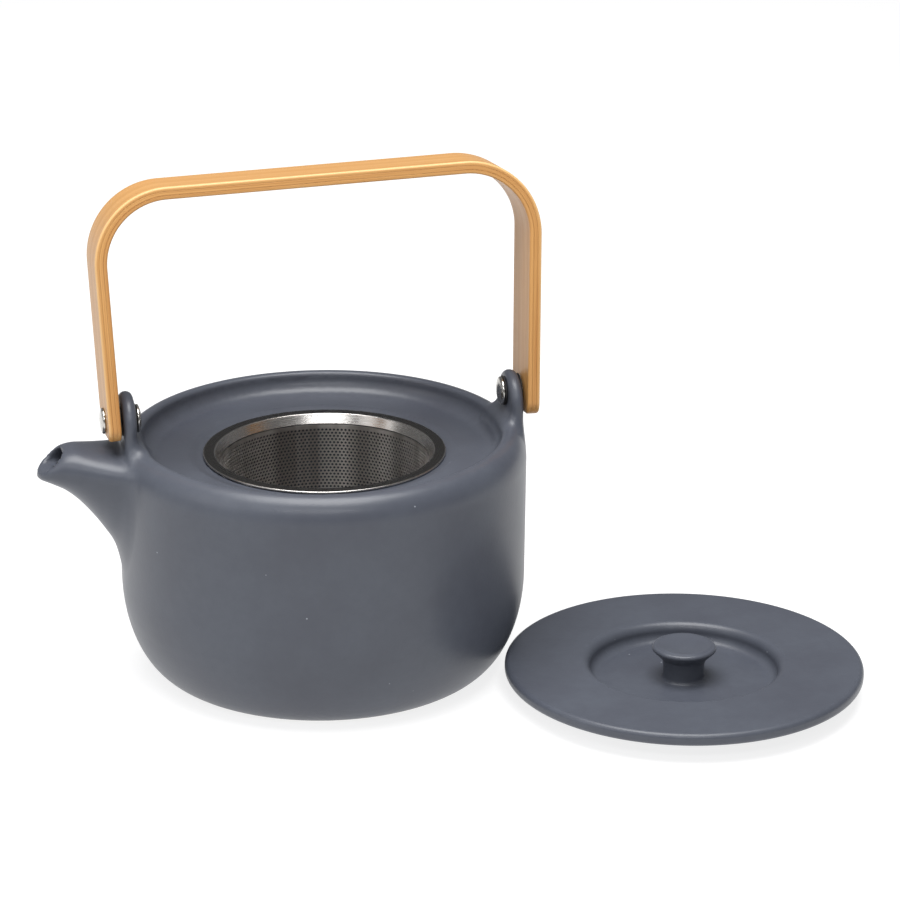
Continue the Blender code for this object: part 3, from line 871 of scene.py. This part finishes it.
def make_wall(material, wall_low):
    """Sheet rolled into a taper, with staggered holes; each hole sits in a six-sided cell."""
    columns = round(2 * pi * (BASKET_TOP_R + BASKET_BOTTOM_R) / 2 / HOLE_PITCH)
    side = HOLE_PITCH / sqrt(3)
    rows = int((BASKET_TOP - WALL_TOP_BAND - wall_low) / (1.5 * side)) - 1
    first = wall_low + BASE_LAP
    flat = []
    for ring in range(rows + 1):
        for k in range(2 * columns):
            height = first + 1.5 * side * (ring - 1)
            height += side if (k + ring - 1) % 2 == 0 else side / 2
            if ring == 0:
                height = wall_low
            if ring == rows:
                height = BASKET_TOP
            flat.append((k / 2, height))
    corner_count = len(flat)
    cells = [(row, column) for row in range(rows) for column in range(columns)]
    for row, column in cells:
        middle_u = column + (row % 2) / 2
        middle_v = first + 1.5 * side * row
        flat += [(middle_u + du / HOLE_PITCH, middle_v + dv) for du, dv in hole_ring(0, 0)]
    flat = np.array(flat)
    angle = flat[:, 0] * 2 * pi / columns
    points = []
    for shift in (0, -BASKET_T):
        r = basket_radius(flat[:, 1]) + shift
        points.append(np.column_stack([r * np.cos(angle), r * np.sin(angle), flat[:, 1]]))
    inner_start = len(flat)
    faces = []
    for number, (row, column) in enumerate(cells):
        k = 2 * column + row % 2
        hole = corner_count + 6 * number
        lower, upper = row * 2 * columns, (row + 1) * 2 * columns
        ends = [upper + k % (2 * columns), upper + (k + 1) % (2 * columns), lower + (k + 1) % (2 * columns),
                lower + k % (2 * columns), lower + (k - 1) % (2 * columns), upper + (k - 1) % (2 * columns)]
        for i in range(6):
            j = (i + 1) % 6
            outer = (ends[i], hole + i, hole + j, ends[j])
            faces.append(outer)
            faces.append(tuple(inner_start + v for v in outer[::-1]))
            faces.append((hole + i, inner_start + hole + i, inner_start + hole + j, hole + j))
    for ring in (0, rows):
        start = ring * 2 * columns
        for k in range(2 * columns):
            a, b = start + k, start + (k + 1) % (2 * columns)
            face = (a, b, inner_start + b, inner_start + a)
            faces.append(face if ring else face[::-1])
    points = np.vstack(points) + (INFUSER_X, 0, 0)
    obj = add_mesh("basket_wall", points, faces, material)
    obj.data.shade_flat()
    face_outward(obj)
    settle(obj, "infuser", "basket_steel", "infuser_wall")


def make_base(material):
    """Round plate with the same staggered holes, and a plain band round its edge."""
    low = BASKET_BOTTOM + BASE_RING_T + GAP
    radius = BASKET_BOTTOM_R - 2 * BASKET_T
    reach = BASKET_BOTTOM_R - BASE_RING_WIDE - HOLE_PITCH
    side = HOLE_PITCH / sqrt(3)
    span = int(reach / HOLE_PITCH) + 2
    found = {}
    flat = []
    faces = []

    def corner(u, v):
        key = (round(u, 4), round(v, 4))
        if key not in found:
            found[key] = len(flat)
            flat.append((u, v))
        return found[key]

    holes = []
    edge_count = {}
    for row in range(-span, span + 1):
        for column in range(-span, span + 1):
            u = (column + (row % 2) / 2) * HOLE_PITCH
            v = row * 1.5 * side
            if u * u + v * v > reach * reach:
                continue
            ends = [corner(u + side * sin(radians(a)), v + side * cos(radians(a))) for a in range(0, 360, 60)]
            holes.append((ends, u, v))
            for a, b in zip(ends, ends[1:] + ends[:1]):
                edge_count[frozenset((a, b))] = edge_count.get(frozenset((a, b)), 0) + 1
    border = [tuple(edge) for edge, used in edge_count.items() if used == 1]
    rim = len(flat)
    flat += [(radius * cos(a), radius * sin(a)) for a in np.linspace(0, 2 * pi, TURN_STEPS, endpoint=False)]
    rim_edges = [(rim + k, rim + (k + 1) % TURN_STEPS) for k in range(TURN_STEPS)]
    used = sorted({v for edge in border + rim_edges for v in edge})
    place = {v: i for i, v in enumerate(used)}
    edges = [(place[a], place[b]) for a, b in border + rim_edges]
    made = delaunay_2d_cdt([Vector(flat[v]) for v in used], edges, [], 1, 1e-6)
    centres = np.array([(u, v) for _, u, v in holes])
    for triangle in made[2]:
        spot = np.mean([flat[used[v]] for v in triangle], axis=0)
        nearest = centres[np.argmin(((centres - spot) ** 2).sum(axis=1))] - spot
        facing = [abs(nearest @ (sin(a), cos(a))) for a in (pi / 6 * k for k in (1, 3, 5))]
        if max(facing) > HOLE_PITCH / 2:
            faces.append(tuple(used[v] for v in triangle))
    walls = []
    for ends, u, v in holes:
        hole = len(flat)
        flat += hole_ring(u, v)
        for i in range(6):
            j = (i + 1) % 6
            faces.append((ends[i], hole + i, hole + j, ends[j]))
            walls.append((hole + i, hole + j))
    count = len(flat)
    both = faces + [tuple(count + v for v in face[::-1]) for face in faces]
    both += [(a, b, count + b, count + a) for a, b in walls + rim_edges]
    points = [(INFUSER_X + u, v, z) for z in (low + BASKET_T, low) for u, v in flat]
    obj = add_mesh("basket_base", points, both, material)
    obj.data.shade_flat()
    face_outward(obj)
    settle(obj, "infuser", "basket_steel", "infuser_base")


# ---------------------------------------------------------------- materials

class Paint:
    """A Principled material and short ways to wire nodes into it."""

    def __init__(self, name, **values):
        self.material = bpy.data.materials.new(name)
        self.material.use_nodes = True
        self.tree = self.material.node_tree
        self.shader = self.tree.nodes["Principled BSDF"]
        for key, value in values.items():
            self.shader.inputs[key.replace("_", " ")].default_value = value

    def node(self, kind, inputs=None, **settings):
        made = self.tree.nodes.new(kind)
        for key, value in settings.items():
            setattr(made, key, value)
        for key, value in (inputs or {}).items():
            if isinstance(value, bpy.types.NodeSocket):
                self.tree.links.new(value, made.inputs[key])
            else:
                made.inputs[key].default_value = value
        return made

    def position(self):
        return self.node("ShaderNodeTexCoord").outputs["Object"]

    def stretch(self, vector, scale):
        made = self.node("ShaderNodeMapping", {"Vector": vector, "Scale": scale})
        return made.outputs["Vector"]

    def noise(self, vector, scale, detail=2.0, roughness=0.5):
        inputs = {"Vector": vector, "Scale": scale, "Detail": detail, "Roughness": roughness}
        return self.node("ShaderNodeTexNoise", inputs).outputs["Fac"]

    def math(self, operation, a, b=0.0):
        return self.node("ShaderNodeMath", {0: a, 1: b}, operation=operation).outputs[0]

    def band(self, value, low, high, out_low=0.0, out_high=1.0):
        inputs = {"Value": value, "From Min": low, "From Max": high, "To Min": out_low, "To Max": out_high}
        return self.node("ShaderNodeMapRange", inputs).outputs["Result"]

    def mix(self, share, a, b):
        made = self.node("ShaderNodeMix", data_type="RGBA")
        for socket, value in ((made.inputs[0], share), (made.inputs[6], a), (made.inputs[7], b)):
            if isinstance(value, bpy.types.NodeSocket):
                self.tree.links.new(value, socket)
            else:
                socket.default_value = value
        return made.outputs[2]

    def set(self, name, socket):
        self.tree.links.new(socket, self.shader.inputs[name])

    def bump(self, height, strength, distance):
        inputs = {"Height": height, "Strength": strength, "Distance": distance}
        self.set("Normal", self.node("ShaderNodeBump", inputs).outputs["Normal"])


def colour(red, green, blue):
    """A linear colour from 0 to 255 screen values."""
    linear = []
    for value in (red, green, blue):
        share = value / 255
        linear.append(share / 12.92 if share <= 0.04045 else ((share + 0.055) / 1.055) ** 2.4)
    return (*linear, 1.0)


def glaze_material():
    """Satin slate glaze: soft mottling, pale specks, and bare clay under the foot."""
    paint = Paint("slate_glaze", Specular_IOR_Level=0.4)
    place = paint.position()
    mottle = paint.band(paint.noise(place, 28, 4, 0.6), 0.35, 0.65)
    base = paint.mix(mottle, colour(69, 72, 81), colour(75, 79, 88))
    cloud = paint.band(paint.noise(place, 260, 3, 0.7), 0.4, 0.7)
    base = paint.mix(paint.math("MULTIPLY", cloud, 0.25), base, colour(64, 67, 76))
    cells = paint.node("ShaderNodeTexVoronoi", {"Vector": place, "Scale": 210})
    speck = paint.band(cells.outputs["Distance"], 0.035, 0.075, 1.0, 0.0)
    chosen = paint.band(cells.outputs["Color"], 0.84, 0.86)
    base = paint.mix(paint.math("MULTIPLY", speck, chosen), base, colour(150, 154, 162))
    height = paint.node("ShaderNodeSeparateXYZ", {"Vector": place}).outputs["Z"]
    foot = paint.band(height, 0.0001, 0.0006, 1.0, 0.0)
    base = paint.mix(foot, base, colour(176, 168, 156))
    paint.set("Base Color", base)
    paint.set("Roughness", paint.band(mottle, 0, 1, 0.33, 0.39))
    paint.bump(paint.noise(place, 900, 2, 0.5), 0.12, 0.0002)
    return paint.material


def bamboo_material():
    """Laminated bamboo: long fibres, slats, dark vessels, warmer cut edges and a painted highlight along the
    outer face's edges.
    """
    paint = Paint("bamboo_laminate", Specular_IOR_Level=0.3)
    grain = paint.node("ShaderNodeAttribute", attribute_name="grain").outputs["Vector"]
    slats = paint.noise(paint.stretch(grain, (3, 190, 500)), 1, 1, 0.4)
    fibres = paint.noise(paint.stretch(grain, (22, 2200, 2600)), 1, 4, 0.65)
    vessels = paint.noise(paint.stretch(grain, (160, 5200, 5200)), 1, 1, 0.5)
    base = paint.mix(paint.band(slats, 0.35, 0.65), colour(176, 131, 74), colour(192, 148, 92))
    base = paint.mix(paint.band(fibres, 0.42, 0.7), base, colour(178, 124, 68))
    base = paint.mix(paint.band(vessels, 0.66, 0.74, 0.0, 0.55), base, colour(150, 98, 52))
    across = paint.node("ShaderNodeSeparateXYZ", {"Vector": grain}).outputs["Y"]
    across = paint.math("ABSOLUTE", across)
    half = STRIP_W / 2 * MM
    cut = paint.band(across, half - 0.0007, half - 0.0001, 0.0, 0.55)
    edge = paint.mix(paint.band(fibres, 0.35, 0.6), colour(208, 154, 92), colour(180, 126, 70))
    base = paint.mix(cut, base, edge)
    depth = paint.node("ShaderNodeSeparateXYZ", {"Vector": grain}).outputs["Z"]
    # Painted highlight: a pale line along the two long edges of the outer face
    arris_highlight = paint.math("MULTIPLY", paint.band(across, half - 0.0011, half - 0.0005),
                       paint.band(depth, 0.0003, 0.0010, 0.5, 0.0))
    base = paint.mix(arris_highlight, base, colour(232, 196, 142))
    paint.set("Base Color", base)
    paint.set("Roughness", paint.band(fibres, 0.3, 0.7, 0.33, 0.46))
    paint.bump(fibres, 0.25, 0.0001)
    return paint.material


def brushed_material(name, dark, light, low, high, stretch, sweep, collar=None):
    """Steel brushed round its axis, its gleam drawn out across the brushing by stretch.

    Roughness runs from low to high along the streaks, and sweep is the depth of the painted shade round
    the axis: darker towards the front and back than at the sides, painted light sweeps of brushed steel.
    A collar colour paints a reflection on the rim's collar and a highlight along its outer edge.
    """
    paint = Paint(name, Metallic=1.0, Anisotropic=stretch, Anisotropic_Rotation=0.25)
    tangent = paint.node("ShaderNodeTangent", direction_type="RADIAL", axis="Z")
    paint.set("Tangent", tangent.outputs["Tangent"])
    place = paint.position()
    parts = paint.node("ShaderNodeSeparateXYZ", {"Vector": place})
    x = paint.math("SUBTRACT", parts.outputs["X"], INFUSER_X * MM)
    radius = paint.math("SQRT", paint.math("ADD", paint.math("MULTIPLY", x, x),
                                           paint.math("MULTIPLY", parts.outputs["Y"], parts.outputs["Y"])))
    angle = paint.math("ARCTAN2", parts.outputs["Y"], x)
    line = paint.node("ShaderNodeCombineXYZ", {"X": paint.math("MULTIPLY", radius, 2600.0),
                                               "Y": paint.math("MULTIPLY", angle, 6.0),
                                               "Z": paint.math("MULTIPLY", parts.outputs["Z"], 2600.0)})
    streak = paint.noise(line.outputs["Vector"], 1, 3, 0.6)
    cloud = paint.noise(place, 60, 3, 0.6)
    tone = paint.mix(streak, dark, light)
    tone = paint.mix(paint.band(cloud, 0.3, 0.7, 0.0, 0.35), tone, dark)
    # Painted shade and painted reflection: darker towards the front and back of the axis, lighter at the
    # sides, with noise ripples
    around = paint.node("ShaderNodeCombineXYZ", {"X": paint.math("DIVIDE", x, radius),
                                                 "Y": paint.math("DIVIDE", parts.outputs["Y"], radius)})
    ripple = paint.band(paint.noise(around.outputs["Vector"], 4.5, 1, 0.5), 0.35, 0.65, 0.0, 0.5)
    sideways = paint.math("ABSOLUTE", paint.math("DIVIDE", x, radius))
    painted_sweeps = paint.math("ADD", ripple, paint.band(sideways, 0.1, 0.8, 0.0, 0.5))
    tone = paint.mix(paint.band(painted_sweeps, 0.2, 0.8, sweep, 0.0), tone, colour(92, 87, 84))
    # Painted reflection: the collar colour brightens the collar and paints a thin highlight along the
    # flange's outer edge
    if collar:
        bend = (COLLAR_TOP_R + 0.2) * MM
        edge = (FLANGE_R - 0.35) * MM
        inner = paint.band(radius, bend - 0.0002, bend + 0.0002, 1.0, 0.0)
        outer = paint.band(radius, edge - 0.0001, edge + 0.0001)
        tone = paint.mix(paint.math("MAXIMUM", inner, outer), tone, collar)
    paint.set("Base Color", tone)
    paint.set("Roughness", paint.band(streak, 0.3, 0.7, low, high))
    paint.bump(streak, 0.06, 0.0001)
    return paint.material


def chrome_material():
    paint = Paint("screw_chrome", Metallic=1.0)
    place = paint.position()
    smear = paint.noise(place, 500, 3, 0.6)
    paint.set("Base Color", paint.mix(smear, colour(205, 203, 198), colour(178, 175, 170)))
    paint.set("Roughness", paint.band(smear, 0.3, 0.7, 0.16, 0.28))
    return paint.material


def rubber_material():
    paint = Paint("washer_rubber")
    place = paint.position()
    dust = paint.noise(place, 2500, 4, 0.7)
    paint.set("Base Color", paint.mix(dust, colour(26, 25, 25), colour(44, 42, 41)))
    paint.set("Roughness", paint.band(dust, 0.3, 0.7, 0.6, 0.8))
    paint.bump(dust, 0.15, 0.0001)
    return paint.material


# ---------------------------------------------------------------- stage, light and camera

def floor_material():
    paint = Paint("pale_floor", Roughness=0.7)
    place = paint.position()
    tone = paint.noise(place, 3, 2, 0.5)
    paint.set("Base Color", paint.mix(tone, colour(140, 140, 141), colour(144, 144, 144)))
    paint.shader.inputs["Emission Color"].default_value = (1, 1, 1, 1)
    paint.shader.inputs["Emission Strength"].default_value = FLOOR_GLOW
    return paint.material


def make_floor():
    corners = ((-1, -1), (1, -1), (1, 1), (-1, 1))
    points = [(FLOOR_HALF * u, FLOOR_HALF * v, FLOOR_Z) for u, v in corners]
    floor = add_mesh("floor", points, [(0, 1, 2, 3)], floor_material())


def add_area(name, place, size, power):
    """A rectangular light that faces the object."""
    data = bpy.data.lights.new(name, "AREA")
    data.shape = "RECTANGLE"
    data.size, data.size_y = size
    data.energy = power
    lamp = bpy.data.objects.new(name, data)
    bpy.context.scene.collection.objects.link(lamp)
    lamp.location = place
    lamp.rotation_euler = (Vector(LIGHT_TARGET) - Vector(place)).to_track_quat("-Z", "Y").to_euler()


def make_light():
    world = bpy.data.worlds.new("studio")
    bpy.context.scene.world = world
    world.use_nodes = True
    world.node_tree.nodes["Background"].inputs["Color"].default_value = (1, 1, 1, 1)
    world.node_tree.nodes["Background"].inputs["Strength"].default_value = WORLD_STRENGTH
    for name, place, size, power in LIGHTS:
        add_area(name, place, size, power)


def make_camera():
    data = bpy.data.cameras.new("camera")
    data.lens = LENS
    data.sensor_width = SENSOR_WIDTH
    data.clip_start = 0.05
    data.clip_end = 20.0
    camera = bpy.data.objects.new("camera", data)
    bpy.context.scene.collection.objects.link(camera)
    camera.location = CAMERA_AT
    camera.rotation_euler = (CAMERA_AIM - CAMERA_AT).to_track_quat("-Z", "Y").to_euler()
    bpy.context.scene.camera = camera


def main():
    glaze = glaze_material()
    bamboo = bamboo_material()
    chrome = chrome_material()
    rubber = rubber_material()
    # The flange's dark colours are painted shade, standing for the dark surroundings that the flat ring
    # reflects
    flange_steel = brushed_material("flange_steel", colour(58, 56, 54), colour(84, 81, 78),
                                    low=0.2, high=0.34, stretch=0.2, sweep=0.1, collar=colour(184, 181, 178))
    # The basket's deep sweep paints strong shade at its front and back, and light sweeps at its sides
    basket_steel = brushed_material("basket_steel", colour(204, 200, 197), colour(236, 233, 230),
                                    low=0.34, high=0.46, stretch=0.7, sweep=0.75)

    make_camera()
    make_pot(glaze)
    make_lid(glaze)
    stations = bail_stations()
    for index, name in enumerate(PLIES):
        make_ply(name, index, stations, bamboo)
    for side, where in ((-1, "spout"), (1, "back")):
        make_screw(side, where, chrome)
        make_post(side, where, chrome)
        make_washer("leg_washer_soft_" + where, "leg_washer_" + where, side, LEG_WASHER_R, LUG_OUT + GAP,
                    LEG_WASHER_T, rubber)
        make_washer("post_washer_soft_" + where, "post_washer_" + where, side, POST_WASHER_R,
                    LUG_IN - GAP - POST_WASHER_T, POST_WASHER_T, rubber)
    wall_low = BASKET_BOTTOM + BASE_RING_H - BASE_LAP
    make_rim(flange_steel)
    make_base_ring(basket_steel, wall_low)
    make_wall(basket_steel, wall_low)
    make_base(basket_steel)
    make_floor()
    make_light()
    bpy.context.scene.view_settings.view_transform = "Standard"


main()
